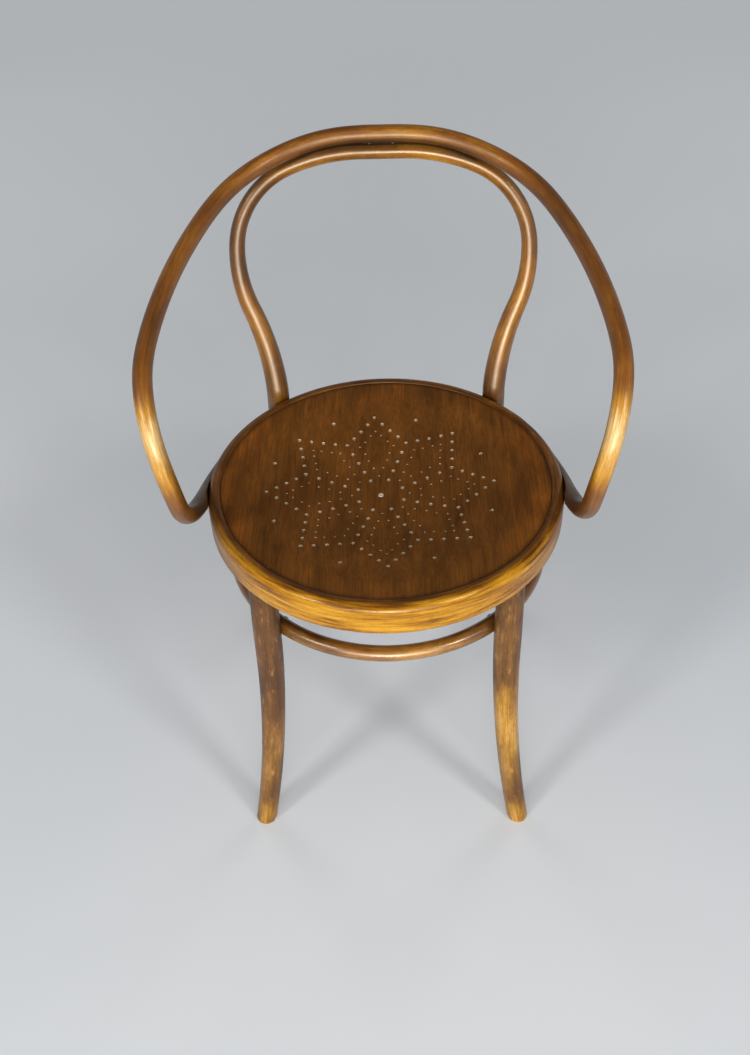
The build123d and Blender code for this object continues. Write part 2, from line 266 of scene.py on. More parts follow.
def lathe(name, profile, centre_y, seam, shape, node, material, worn):
    """Ring turned from a closed profile of (radius, height) points. Its grain begins at the seam."""
    rows = len(profile)
    middle = sum(radius for radius, height in profile) / rows
    points = [
        shape(around(centre_y, radius, seam + 360 * span / ring_spans, height))
        for span in range(ring_spans)
        for radius, height in profile
    ]
    faces, grains = [], []
    for span in range(ring_spans):
        after = (span + 1) % ring_spans
        start, end = (2 * pi * middle * k / ring_spans for k in (span, span + 1))
        for row in range(rows):
            up = (row + 1) % rows
            faces.append((span * rows + row, after * rows + row, after * rows + up, span * rows + up))
            low, high = profile[row], profile[up]
            grains.append(((start, *low), (end, *low), (end, *high), (start, *high)))
    marks = [worn(point) for point in points]
    finish_piece(name, points, faces, grains, node, material, marks)


def colour(red, green, blue):
    """Linear colour of a display colour given in 0 to 255."""
    parts = [c / 255 for c in (red, green, blue)]
    return (*[c / 12.92 if c <= 0.04045 else ((c + 0.055) / 1.055) ** 2.4 for c in parts], 1)


class Nodes:
    """Shorthand for the node tree of a material or a world."""

    def __init__(self, owner):
        owner.use_nodes = True
        self.tree = owner.node_tree

    def put(self, kind, **inputs):
        made = self.tree.nodes.new(kind)
        for key, value in inputs.items():
            self.feed(made.inputs[key.replace("_", " ")], value)
        return made

    def feed(self, socket, value):
        if isinstance(value, bpy.types.NodeSocket):
            self.tree.links.new(value, socket)
        else:
            socket.default_value = value

    def attribute(self, name, output):
        made = self.tree.nodes.new("ShaderNodeAttribute")
        made.attribute_name = name
        return made.outputs[output]

    def noise(self, coordinates, scale, detail=2, rough=0.55, shift=0):
        shifts = (shift, shift, shift)
        place = self.put("ShaderNodeMapping", Vector=coordinates, Scale=scale, Location=shifts)
        made = self.put("ShaderNodeTexNoise", Scale=1, Detail=detail, Roughness=rough)
        self.feed(made.inputs["Vector"], place.outputs["Vector"])
        return made.outputs["Fac"]

    def math(self, operation, first, second):
        made = self.tree.nodes.new("ShaderNodeMath")
        made.operation = operation
        self.feed(made.inputs[0], first)
        self.feed(made.inputs[1], second)
        return made.outputs[0]

    def span(self, value, low, high, start=0.0, end=1.0, kind="SMOOTHSTEP"):
        made = self.put("ShaderNodeMapRange", Value=value)
        made.interpolation_type = kind
        for key, number in (("From Min", low), ("From Max", high), ("To Min", start), ("To Max", end)):
            made.inputs[key].default_value = number
        return made.outputs["Result"]

    def ramp(self, value, stops):
        made = self.put("ShaderNodeValToRGB", Fac=value)
        bar = made.color_ramp
        while len(bar.elements) < len(stops):
            bar.elements.new(0.5)
        for element, (place, tone) in zip(bar.elements, stops):
            element.position = place
            element.color = tone
        return made.outputs["Color"]

    def mix(self, factor, first, second, kind="MIX"):
        made = self.tree.nodes.new("ShaderNodeMix")
        made.data_type = "RGBA"
        made.blend_type = kind
        self.feed(made.inputs["Factor"], factor)
        self.feed(made.inputs["A"], first)
        self.feed(made.inputs["B"], second)
        return made.outputs["Result"]

    def shown_rays(self):
        """1 for the rays that show the backdrop, straight or in a reflection."""
        rays = self.put("ShaderNodeLightPath").outputs
        shown = self.math("MAXIMUM", rays["Is Camera Ray"], rays["Is Glossy Ray"])
        return self.math("MAXIMUM", shown, rays["Is Transmission Ray"])


# What all the woods share
bare_wood_highlight_colour = colour(226, 194, 138)
grime_and_shade_colour = colour(38, 22, 12)
sheen_tint = (1.0, 0.72, 0.4, 1)
coat_roughness = 0.28
coat_ior = 1.6
rubbed_polish = 0.18


def wood(
    name,
    stain,
    gold,
    grain_size=1.0,
    mottle=0.5,
    spread=0.17,
    chip=0.15,
    gloss=(0.34, 0.5),
    coat=0.5,
    shine=0.5,
    bare_and_highlight=0.0,
):
    """Stained and polished beech: streaks and flecks along the bend, blotches, rubbed places, bare wood
    that also stands in for highlights, and grime with painted shade.
    """
    material = bpy.data.materials.new(name)
    s = Nodes(material)
    surface = s.tree.nodes["Principled BSDF"].inputs
    grain = s.attribute("grain", "Vector")
    wear = s.attribute("wear", "Fac")
    grime_and_shade = s.attribute("grime_and_shade", "Fac")
    g = grain_size
    streak = s.noise(grain, (11 * g, 150 * g, 150 * g), detail=3, rough=0.6)
    fibre = s.noise(grain, (14 * g, 820 * g, 820 * g), rough=0.6, shift=3)
    fleck = s.noise(grain, (130 * g, 1500 * g, 1500 * g), detail=1, rough=0.5, shift=7)
    blotch = s.noise(grain, (11, 30, 30), detail=4, rough=0.6, shift=11)
    scuff = s.noise(grain, (60, 260, 260), detail=4, rough=0.7, shift=17)
    tone = s.math("ADD", s.math("MULTIPLY", streak, mottle), s.math("MULTIPLY", blotch, 1 - mottle))
    stained = s.ramp(tone, [(0.5 - spread, stain[0]), (0.5, stain[1]), (0.5 + spread, stain[2])])
    golden = s.ramp(tone, [(0.5 - spread, gold[0]), (0.5, gold[1]), (0.5 + spread, gold[2])])
    patchy = s.math("ADD", s.math("MULTIPLY", blotch, 0.7), s.math("MULTIPLY", scuff, 0.5))
    rubbed = s.span(s.math("ADD", wear, s.math("SUBTRACT", patchy, 0.6)), 0.15, 0.85)
    body = s.mix(rubbed, stained, golden)
    bare_and_highlight_mask = s.math("ADD", wear, s.math("MULTIPLY", s.math("SUBTRACT", scuff, 0.5), 0.6))
    # Bare wood where wear runs highest, which also stands in for highlights
    body = s.mix(s.span(bare_and_highlight_mask, 0.65, 1.1, end=bare_and_highlight), body, bare_wood_highlight_colour)
    chips = s.noise(grain, (55, 210, 210), detail=4, rough=0.7, shift=23)
    body = s.mix(s.span(chips, 0.57, 0.7, end=chip), body, gold[2])
    body = s.mix(s.span(chips, 0.28, 0.42, start=chip, end=0.0), body, stain[0])
    dashes = s.span(fleck, 0.58, 0.7, end=0.42)
    body = s.mix(dashes, body, stain[0])
    lines = s.span(fibre, 0.3, 0.66, start=0.76, end=1.1)
    body = s.mix(1.0, body, lines, "MULTIPLY")
    # Grime mixed with painted shade, in one dark colour
    grime_and_shade_amount = s.math("MULTIPLY", grime_and_shade, s.span(blotch, 0.25, 0.6, start=1.0, end=0.8))
    body = s.mix(grime_and_shade_amount, body, grime_and_shade_colour)
    s.feed(surface["Base Color"], body)
    rubs = s.math("ADD", s.math("MULTIPLY", scuff, 0.7), s.math("MULTIPLY", fibre, 0.3))
    dull = s.span(rubs, 0.3, 0.7, start=gloss[0], end=gloss[1])
    s.feed(surface["Roughness"], s.math("SUBTRACT", dull, s.math("MULTIPLY", rubbed, rubbed_polish)))
    waves = s.math("MULTIPLY", s.math("ADD", scuff, streak), 0.6)
    relief = s.math("ADD", s.math("MULTIPLY", fibre, 0.5), waves)
    bump = s.put("ShaderNodeBump", Height=relief, Strength=0.25, Distance=0.0004)
    s.feed(surface["Normal"], bump.outputs["Normal"])
    surface["Coat Weight"].default_value = coat
    surface["Coat Roughness"].default_value = coat_roughness
    surface["Coat IOR"].default_value = coat_ior
    surface["Specular IOR Level"].default_value = shine
    surface["Specular Tint"].default_value = sheen_tint
    return material


def steel(name):
    """Blued steel that has darkened and worn bright in places."""
    material = bpy.data.materials.new(name)
    s = Nodes(material)
    surface = s.tree.nodes["Principled BSDF"].inputs
    place = s.put("ShaderNodeTexCoord").outputs["Object"]
    spots = s.noise(place, (260, 260, 260), detail=4, rough=0.6)
    brush = s.noise(place, (90, 90, 1400), rough=0.5, shift=5)
    shade = s.ramp(spots, [(0.35, colour(58, 50, 44)), (0.62, colour(128, 118, 106))])
    s.feed(surface["Base Color"], shade)
    s.feed(surface["Roughness"], s.span(brush, 0.3, 0.7, start=0.34, end=0.6))
    bump = s.put("ShaderNodeBump", Height=spots, Strength=0.3, Distance=0.0002)
    s.feed(surface["Normal"], bump.outputs["Normal"])
    surface["Metallic"].default_value = 1.0
    return material


dark_stain = (colour(76, 37, 8), colour(118, 66, 14), colour(148, 90, 24))
warm_gold = (colour(134, 84, 18), colour(180, 124, 28), colour(206, 152, 52))
frame_wood = wood(
    "frame_wood",
    (colour(74, 39, 10), colour(108, 62, 17), colour(134, 84, 28)),
    (colour(112, 64, 10), colour(171, 116, 17), colour(198, 144, 36)),
    grain_size=1.4,
    mottle=0.8,
    spread=0.13,
    chip=0.3,
    coat=0.15,
    shine=0.35,
)
rod_wood = wood("rod_wood", dark_stain, warm_gold, gloss=(0.42, 0.56), coat=0.28, shine=0.8, bare_and_highlight=0.55)
back_wood = wood(
    "back_wood",
    (colour(60, 29, 8), colour(90, 49, 13), colour(120, 73, 24)),
    (colour(116, 66, 12), colour(160, 102, 22), colour(186, 131, 40)),
    coat=0.35,
    shine=0.85,
)
hoop_wood = wood(
    "hoop_wood",
    (colour(56, 28, 10), colour(86, 48, 16), colour(116, 72, 28)),
    (colour(120, 72, 20), colour(166, 112, 40), colour(192, 142, 66)),
    gloss=(0.3, 0.44),
    coat=0.9,
)
leg_wood = wood(
    "leg_wood",
    (colour(58, 34, 19), colour(96, 60, 32), colour(126, 82, 38)),
    (colour(122, 77, 22), colour(174, 123, 32), colour(200, 156, 84)),
    mottle=0.4,
    spread=0.14,
    chip=0.3,
    gloss=(0.4, 0.6),
    coat=0.2,
    shine=0.4,
    bare_and_highlight=0.5,
)
panel_wood = wood(
    "panel_wood",
    (colour(82, 47, 15), colour(108, 65, 24), colour(126, 75, 28)),
    (colour(118, 59, 12), colour(146, 79, 20), colour(162, 93, 28)),
    grain_size=0.7,
    mottle=0.35,
    gloss=(0.58, 0.74),
    coat=0.0,
    shine=0.2,
)
raw_wood_and_light_through = wood(
    "raw_wood_and_light_through",
    (colour(150, 128, 100), colour(190, 172, 144), colour(212, 196, 170)),
    (colour(160, 138, 108), colour(198, 180, 152), colour(214, 200, 174)),
    gloss=(0.6, 0.8),
    coat=0.0,
)
dark_steel = steel("dark_steel")

# How far from a joint's flat its plane still reaches: through the rod and along the ring
flat_depth = 12
flat_half_width = 40

# The cut ends of the legs are this much narrower than the legs
foot_ease = 0.93


def push_out(point, centre_y, reach):
    """Moves a point off the inside of an upright cylinder."""
    x, y = point.x, point.y - centre_y
    far = hypot(x, y)
    if far < reach:
        point = Vector((x * reach / far, centre_y + y * reach / far, point.z))
    return point


def plane_off(point, centre_y, reach, angle, keep):
    """Moves a point to one side, keep, of an upright plane square to a radius, near that radius only."""
    turn = radians(angle)
    out = Vector((cos(turn), sin(turn), 0))
    rest = point - Vector((0, centre_y, 0))
    depth = rest.x * out.x + rest.y * out.y - reach
    beside = abs(rest.x * out.y - rest.y * out.x)
    if depth * keep < 0 and abs(depth) < flat_depth and beside < flat_half_width:
        point = point - out * depth
    return point


def on_floor(point, centre, way):
    """Cuts the end of a leg off at the floor, along the leg's own direction."""
    if point.z < 0:
        slide = point - way * (point.z / way.z)
        middle = centre - way * (centre.z / way.z)
        point = middle + (slide - middle) * foot_ease
    return point


# Seat frame, with its grain's seam under the right upright
upper_round, upper_steps = 10, 12
lower_round, lower_steps = 4, 6
wall_rises = (10, 16, 22)
ledge_edge = ((1, 0), (0.3, 0.3), (0, 1))
frame_seam = 51.25
profile = [(frame_inner, frame_bottom)]
for step in range(lower_steps + 1):
    turn = radians(-90 + 90 * step / lower_steps)
    reach = seat_radius - lower_round + lower_round * cos(turn)
    profile.append((reach, frame_bottom + lower_round * (1 + sin(turn))))
profile += [(seat_radius, frame_bottom + rise) for rise in wall_rises]
for step in range(upper_steps + 1):
    turn = radians(90 * step / upper_steps)
    reach = seat_radius - upper_round * (1 - cos(turn))
    profile.append((reach, seat_height - upper_round * (1 - sin(turn))))
profile += [(ledge_radius + out, seat_height - down) for out, down in ledge_edge]
profile += [(ledge_radius, ledge_z), (frame_inner, ledge_z)]


def frame_shape(point):
    for angle in seat_joints:
        point = plane_off(point, seat_y, frame_face, angle, -1)
    return point


# Each piece's wear and its grime with painted shade run from 0 to 1, and the lengths that they go by are
# millimetres
def frame_wear(point):
    angle = atan2(point.y - seat_y, point.x)
    front = 0.5 + 0.5 * cos(angle + pi / 2)
    reach = hypot(point.x, point.y - seat_y)
    outer = ease(reach, ledge_radius + 2, seat_radius - 3)
    wear = 0.1 + 0.18 * outer + 0.68 * outer * ease(front, 0.64, 0.97)
    grime_and_shade = 0.6 * (1 - ease(reach, ledge_radius, ledge_radius + 3))
    grime_and_shade += 0.35 * (1 - ease(point.z, frame_bottom, frame_bottom + 5))
    # Painted shade: the ring's left side is darker than its right
    grime_and_shade += 0.3 * outer * ease(-point.x, 130, 200)
    return wear, min(1, grime_and_shade)


lathe(
    "seat_ring",
    profile,
    seat_y,
    frame_seam,
    frame_shape,
    "seat_frame",
    frame_wood,
    frame_wear,
)

# Line of the back hoop with the rear legs, which run on below the floor until they are cut off there
below_floor = (6, 12)
straight_shank = 5
back_knots = [
    back_top,
    back_top + sideways * crown_flat,
    back_point(0.623 * back_half_width, 0.944 * back_rise),
    back_point(back_half_width, 0.638 * back_rise),
    back_point(0.928 * back_half_width, 0.382 * back_rise),
    upright + shank * (frame_thickness / 2 + straight_margin / 2),
    rear_joint - shank * straight_margin,
    rear_foot,
]
back_radii = [back_top_radius] * 3 + [back_side_radius, back_waist_radius]
back_radii += [upright_radius, upright_radius, rear_foot_radius]
line, sizes, way = rod_line(back_knots, sideways, back_radii, straight_shank)
line += [line[-1] + way * step for step in below_floor]
sizes += [sizes[-1]] * len(below_floor)
back_line = mirrored(line[:0:-1]) + line
back_sizes = sizes[:0:-1] + sizes

# Line of the arm rail, with its bends eased into one another above the seat and its ends rounded off
half_window = 6
eased_from, eased_to = 530, 580
tip_steps = (0.8, 1.5, 2)
tip_shares = (0.97, 0.9, 0.78)
arm_knots = [
    arm_top,
    arm_top + sideways * crown_flat,
    arm_top + Vector((0.41 * arm_half_width, -0.025 * overall_depth, -0.031 * back_rise)),
    arm_top + Vector((0.782 * arm_half_width, -0.193 * overall_depth, -0.137 * back_rise)),
    arm_point(arm_half_width, 0.24, 0.74),
    arm_point(0.99 * arm_half_width, 0.445, 0.665),
    arm_point(0.933 * arm_half_width, 0.613, 0.45),
    arm_point(arm_end_reach + 8, 0.558, 0.217),
    arm_point(arm_end_reach + 4, 0.262, 0.024),
    arm_point(arm_end_reach, 0.019, -0.043),
    around(seat_y, arm_end_reach, arm_end_angle, seat_height - arm_end_drop),
]
line, sizes, way = rod_line(arm_knots, sideways, [arm_radius] * len(arm_knots))
line += [line[-1] + way * step for step in tip_steps]
sizes += [arm_radius * share for share in tip_shares]
eased = list(line)
for k in range(half_window, len(line) - half_window):
    near = line[k - half_window:k + half_window + 1]
    eased[k] = line[k].lerp(sum(near, Vector()) / len(near), ease(line[k].z, eased_from, eased_to))
arm_line = mirrored(eased[:0:-1]) + eased
arm_sizes = sizes[:0:-1] + sizes

# Above this height the arm rail and the back hoop run close together, with painted shade and dirt in the
# gap
crest_start = 690
gap_dark, gap_clear = 3, 16
arm_crest = [p for p in arm_line[::2] if p.z > crest_start]
back_crest = [p for p in back_line[::2] if p.z > crest_start]

# Sides of the rods that face the front light; their flanks away from it get painted shade
back_lit_side = Vector((0, -0.98, 0.2))
arm_lit_side = Vector((0, -0.7, 0.71))

# How far above and below the middle of a joint the rods are planed, and up to where the arm ends are
frame_zone = frame_thickness / 2 + 3
hoop_zone = 1.5 * hoop_rod_radius
arm_flat_top = seat_height + 6


def shaded_flank(facing, lit_side):
    """How far a place on a rod lies from the side that faces the front light, from 0 to 1, for painted
    shade on the flanks.
    """
    return 1 - ease(abs(facing.dot(lit_side)), 0.15, 0.7)


def crevice(point, centres, reach):
    """How deep a point lies in the gap beside another rod, from 0 to 1."""
    if point.z < crest_start:
        return 0
    near = min((point - centre).length for centre in centres)
    return 1 - ease(near, reach + gap_dark, reach + gap_clear)


def back_shape(point, centre, way):
    if abs(point.z - frame_middle) < frame_zone:
        for angle in seat_joints:
            point = plane_off(point, seat_y, frame_face, angle, 1)
    if abs(point.z - hoop_z) < hoop_zone:
        for angle in rear_hoop_joints:
            point = plane_off(point, hoop_y, hoop_face, angle, 1)
    return on_floor(point, centre, way)


def back_wear(point, facing):
    rise = point.z - seat_height
    waist = 0.12 + 0.2 * ease(point.x, -50, 50)
    wear = 0.34 + waist * ease(rise, 30, 90) - 0.26 * ease(rise, 130, 230) + 0.32 * ease(rise, 250, 285)
    wear -= 0.12 * (1 - ease(rise, -60, 30))
    wear += 0.3 * (1 - ease(point.z, 0, 60))
    # Darker near the seat frame, and painted shade on the flanks away from the front light
    grime_and_shade = 0.5 * (1 - ease(abs(rise - 2), 2, 55)) + 0.5 * shaded_flank(facing, back_lit_side)
    # Painted shadow of the arm rail on the top of the back hoop's crest
    rail_shadow = 0.5 * ease(facing.z, 0.2, 0.8) * ease(rise, 200, 250)
    # Painted shade and dirt where the back hoop runs under the arm rail
    return wear, min(1, grime_and_shade + max(rail_shadow, 0.85 * crevice(point, arm_crest, arm_radius)))


tube("back_rod", back_line, back_sizes, back_shape, "back_hoop", back_wood, back_wear)


def arm_shape(point, centre, way):
    if point.z < arm_flat_top:
        point = push_out(point, seat_y, seat_radius + fit_gap)
    return point


def arm_wear(point, facing):
    forward = seat_y - point.y
    wear = 0.14 + 0.1 * ease(point.z, 730, 768)
    nose = ease(forward, 60, 110) * ease(point.z, 530, 590) * (1 - ease(point.z, 632, 668))
    # The nose's rubbed gold is wear; the peak near 622 mm high, worn to bare-wood colour, is a painted
    # highlight
    wear += 0.62 * nose + 0.28 * nose * exp(-(((point.z - 622) / 22) ** 2))
    # Painted shade on the lower branch that runs back to the seat
    low = (1 - ease(point.z, 465, 525)) * (1 - ease(forward, 80, 120))
    # Painted shade on the right side of the rail's upper part
    shade = 0.25 * ease(point.x, 150, 230) * ease(point.z, 690, 720)
    # Painted shade and dirt in the gap above the back hoop
    grime_and_shade = 0.85 * low + max(shade, 0.9 * crevice(point, back_crest, back_top_radius))
    # Painted shade on the flanks away from the front light
    return wear, min(1, grime_and_shade + 0.4 * shaded_flank(facing, arm_lit_side))


tube("arm_rod", arm_line, arm_sizes, arm_shape, "arm_rail", rod_wood, arm_wear)

# Front legs
leg_knots = [
    front_top + neck,
    front_joint + neck * straight_margin,
    front_joint - neck * straight_margin,
    front_ankle,
    front_foot,
]
leg_radii = [leg_top_radius, leg_hoop_radius, leg_hoop_radius, leg_ankle_radius, leg_foot_radius]
line, sizes, way = rod_line(leg_knots, -neck, leg_radii)
line += [line[-1] + way * step for step in below_floor]
sizes += [sizes[-1]] * len(below_floor)


def leg_shape(point, centre, way):
    point.z = min(point.z, frame_bottom)
    if abs(point.z - hoop_z) < hoop_zone:
        for angle in front_hoop_joints:
            point = plane_off(point, hoop_y, hoop_face, angle, 1)
    return on_floor(point, centre, way)


def leg_shade(point, facing, top):
    # Painted shade at the tops of the legs under the seat, and on the flanks away from the front light
    return min(1, top * ease(point.z, 370, 417) + 0.3 * shaded_flank(facing, back_lit_side))


def right_leg_wear(point, facing):
    wear = 0.3 + 0.45 * exp(-(((point.z - 190) / 78) ** 2)) + 0.42 * (1 - ease(point.z, 0, 50))
    return wear, leg_shade(point, facing, 0.45)


def left_leg_wear(point, facing):
    wear = 0.16 + 0.2 * exp(-(((point.z - 120) / 90) ** 2)) + 0.36 * (1 - ease(point.z, 0, 70))
    return wear, leg_shade(point, facing, 0.35)


tube("leg_right", line, sizes, leg_shape, "front_leg_right", leg_wood, right_leg_wear)
tube("leg_left", mirrored(line), sizes, leg_shape, "front_leg_left", leg_wood, left_leg_wear)

# Leg hoop, with its grain's seam at the right rear leg
hoop_sides = 32
turns = [2 * pi * k / hoop_sides for k in range(hoop_sides)]
profile = [(hoop_radius + hoop_rod_radius * cos(t), hoop_z + hoop_rod_radius * sin(t)) for t in turns]


def hoop_shape(point):
    for angle in front_hoop_joints + rear_hoop_joints:
        point = plane_off(point, hoop_y, hoop_face, angle, -1)
    return point


def hoop_wear(point):
    front = 0.5 - 0.5 * (point.y - hoop_y) / hoop_radius
    # Painted shade on the lower half of the leg hoop
    return 0.26 + 0.3 * ease(front, 0.85, 1.0), 0.5 * (1 - ease(point.z, hoop_z - 8, hoop_z + 4))


lathe(
    "leg_ring",
    profile,
    hoop_y,
    rear_hoop_joint,
    hoop_shape,
    "leg_hoop",
    hoop_wood,
    hoop_wear,
)

# Seat panel: a pressed dish with every hole of the star
star_points = 8
star_centre = Vector((-6, -5))
star_turn = 3.6
tip_reach, notch_reach, ray_start, outer_reach = 136, 96.6, 29, 137
centre_hole, star_hole, small_hole = 3.6, 2.3, 1.3
kite = [(34, 0), (47.5, 6), (60.5, 11.5), (72.5, 15), (84.4, 21), (92.5, 14), (102.8, 6.5), (110, 0)]
kite_stretch = 1.02
dish_radius = 172
dish_power = 1.2


def polar(reach, angle):
    """Flat point at an angle in degrees from +X."""
    return Vector((reach * cos(radians(angle)), reach * sin(radians(angle))))


holes = [(star_centre, centre_hole)]
half_turn = 180 / star_points
for number in range(star_points):
    tip_angle = 90 + star_turn + 2 * half_turn * number
    notch_angle = tip_angle + half_turn
    tip_place = polar(tip_reach, tip_angle)
    spots = [tip_place]
    for angle in (tip_angle - half_turn, notch_angle):
        notch = polar(notch_reach, angle)
        spots += [tip_place.lerp(notch, share) for share in (0.25, 0.5, 0.75)]
    spots += [polar(ray_start + (notch_reach - ray_start) * k / 4, notch_angle) for k in range(5)]
    spots.append(polar(outer_reach, notch_angle))
    holes += [(star_centre + spot, star_hole) for spot in spots]
    for axial, lateral in kite:
        for hand in (1, -1) if lateral else (1,):
            place = polar(axial * kite_stretch, tip_angle) + polar(lateral * hand, tip_angle + 90)
            holes.append((star_centre + place, small_hole))


def dish(x, y):
    """Height of the panel's upper face."""
    share = min(1, hypot(x, y) / dish_radius)
    return panel_rim_z - panel_dish * (1 - share * share) ** dish_power


# The panel from above, with the edges of its holes and its rim, cut into triangles
corner_counts = {centre_hole: 24, star_hole: 14, small_hole: 10}
rim_count = 256
field_rings = 33
field_points = 8
field_turn = 7
hole_margin = 1.2
hole_share = 0.93
flat_points, flat_edges = [], []
for place, size in holes:
    corners = corner_counts[size]
    first = len(flat_points)
    for k in range(corners):
        flat_points.append(place + polar(size, 360 * k / corners))
        flat_edges.append((first + k, first + (k + 1) % corners))
first = len(flat_points)
for k in range(rim_count):
    flat_points.append(polar(panel_radius, 360 * k / rim_count))
    flat_edges.append((first + k, first + (k + 1) % rim_count))
for ring in range(1, field_rings):
    reach = panel_radius * ring / field_rings
    for k in range(field_points * ring):
        spot = polar(reach, 360 * k / (field_points * ring) + field_turn * ring)
        if all((spot - place).length > size + hole_margin for place, size in holes):
            flat_points.append(spot)
hull_triangles, merge_distance = 0, 1e-6
drawn = delaunay_2d_cdt(flat_points, flat_edges, [], hull_triangles, merge_distance, False)
flat_points, triangles = drawn[0], drawn[2]


def in_hole(corners):
    middle = sum((flat_points[c] for c in corners), Vector((0, 0))) / 3
    return any((middle - place).length < hole_share * size for place, size in holes)


# Its upper and lower faces and the walls between them
kept = [tuple(t) for t in triangles if not in_hole(t)]
total = len(flat_points)
points = [Vector((p.x, seat_y + p.y, dish(p.x, p.y))) for p in flat_points]
points += [p - Vector((0, 0, panel_thickness)) for p in points]
faces = kept + [tuple(total + c for c in reversed(t)) for t in kept]
directed = {(t[k], t[(k + 1) % 3]) for t in kept for k in range(3)}
walls = sorted((b, a, a + total, b + total) for a, b in directed if (b, a) not in directed)
wall_first = len(faces)
faces += walls
grains = [tuple((points[c].y, points[c].x, points[c].z) for c in face) for face in faces]


def panel_wear(point):
    reach = hypot(point.x, point.y - seat_y)
    side = abs(point.x) / panel_radius
    wear = 0.12 + 0.32 * ease(side, 0.55, 0.95) + 0.12 * ease(point.y - seat_y, 60, 170)
    grime_and_shade = 0.6 * ease(reach, panel_radius - 4.5, panel_radius) + 0.04
    return wear, grime_and_shade


marks = [panel_wear(point) for point in points]
panel = finish_piece(
    "panel", points, faces, grains, "seat_panel", panel_wood, marks, sharp=40
)

# Raw wood inside the holes, painted paler as well for the light that shows through them
panel.data.materials.append(raw_wood_and_light_through)
rim_wall = panel_radius - 6.5
for polygon in panel.data.polygons:
    centre = polygon.center / millimetre
    if polygon.index >= wall_first and hypot(centre.x, centre.y - seat_y) < rim_wall:
        polygon.material_index = 1


# Bolts and screws. A place is the middle of the head's seat or face, the way out and the slot's turn
def fasteners(name, places, shape, node):
    """The same small piece at each place, along that place's way out."""
    local_points, local_faces = shape
    points, faces = [], []
    for origin, out, turn in places:
        first = len(points)
        side = Matrix.Rotation(radians(turn), 3, out) @ out.orthogonal().normalized()
        across = out.cross(side)
        points += [origin + side * x + across * y + out * z for x, y, z in local_points]
        faces += [tuple(first + corner for corner in face) for face in local_faces]
    grains = [tuple(tuple(points[corner]) for corner in face) for face in faces]
    marks = [(0, 0)] * len(points)
    finish_piece(name, points, faces, grains, node, dark_steel, marks, sharp=35)


def bolt_shape(length):
    """Domed head on a round shank, turned from (radius, height) pairs."""
    sides = 32
    head_height, shank_radius, tip_radius, tip_length = 3, 3, 2.3, 1
    turns = [2 * pi * k / sides for k in range(sides)]
    head = [(2.6, 2.85), (4.8, 2.4), (6.5, 1.6), (7.6, 0.6), (8, 0)]
    rows = head + [(shank_radius, 0), (shank_radius, tip_length - length), (tip_radius, -length)]
    points = [(0, 0, head_height)]
    for radius, height in rows:
        points += [(radius * cos(t), radius * sin(t), height) for t in turns]
    points.append((0, 0, -length))
    last = len(points) - 1
    faces = []
    for k in range(sides):
        after = (k + 1) % sides
        faces.append((0, 1 + k, 1 + after))
        for row in range(len(rows) - 1):
            upper = 1 + row * sides
            lower = upper + sides
            faces.append((upper + k, lower + k, lower + after, upper + after))
        faces.append((last - sides + k, last, last - sides + after))
    return points, faces


def screw_shape(length, radius=4.2):
    """Slotted head with an eased edge on a round shank that runs to a point."""
    lip, half_slot, slot_floor = 0.4, 0.55, -1.1
    under, shank_radius, point_length = -2, 2.2, 8
    steps = 12

    def ring(reach, height):
        cut = asin(half_slot / radius) if reach < radius - lip else asin(half_slot / reach)
        swing = (pi - 2 * cut) / steps
        turns = [start + cut + swing * k for start in (0, pi) for k in range(steps + 1)]
        return [(reach * cos(t), reach * sin(t), height) for t in turns]

    rows = [
        ring(radius - lip, 0),
        ring(radius, -lip),
        ring(radius, slot_floor),
        ring(radius, under),
        ring(shank_radius, under),
        ring(shank_radius, point_length - length),
    ]
    count = 2 * steps + 2
    points = [point for row in rows for point in row] + [(0, 0, -length)]
    faces = [tuple(range(steps + 1)), tuple(range(steps + 1, count))]
    last_row = len(rows) - 1
    for row in range(last_row):
        for k in range(count):
            if row > 1 or k not in (steps, count - 1):
                upper, lower, after = row * count, (row + 1) * count, (k + 1) % count
                faces.append((upper + k, lower + k, lower + after, upper + after))
    for first, last in ((0, steps), (steps + 1, count - 1)):
        rising = tuple(row * count + first for row in (2, 1, 0))
        faces.append(rising + tuple(row * count + last for row in (0, 1, 2)))
    faces.append(tuple(2 * count + k for k in (0, steps, steps + 1, count - 1)))
    for k in range(count):
        faces.append((last_row * count + k, len(points) - 1, last_row * count + (k + 1) % count))
    return points, faces


def radial_place(centre_y, reach, angle, height, facing, turn):
    """Place of a fastener round a vertical axis, facing away from the axis or towards it."""
    return around(centre_y, reach, angle, height), facing * around(0, 1, angle, 0), turn


# Heads of the bolts and of the screws at the crest are sunk a little, and the other screws stand proud
outward, inward = 1, -1
bolt_sink, screw_proud, lap_sink = 1.4, 0.6, 0.35
bolt_drop, bolt_past_frame = 25, 7
hoop_screw_length, arm_screw_length, lap_screw_length = 36, 43, 31
lap_head_radius = 3.4
lap_spread = 14
arm_screw_angle = 15
hoop_slots, arm_slots, lap_slots = (20, 75, 130, 50), (35, 110), (15, 60)
bolt_reach = seat_radius + 2 * upright_radius - 2 * planed - bolt_sink
bolt_end = frame_inner - bolt_past_frame
bolt_z = seat_height - bolt_drop
bolt_places = [radial_place(seat_y, bolt_reach, angle, bolt_z, outward, 0) for angle in seat_joints]
fasteners("bolts", bolt_places, bolt_shape(bolt_reach - bolt_end), "back_bolts")
hoop_reach = hoop_radius - hoop_rod_radius - screw_proud
hoop_places = [
    radial_place(hoop_y, hoop_reach, angle, hoop_z, inward, turn)
    for angle, turn in zip(front_hoop_joints + rear_hoop_joints, hoop_slots)
]
fasteners("hoop_screws", hoop_places, screw_shape(hoop_screw_length), "leg_hoop_screws")
arm_screw_z = seat_height - arm_screw_drop
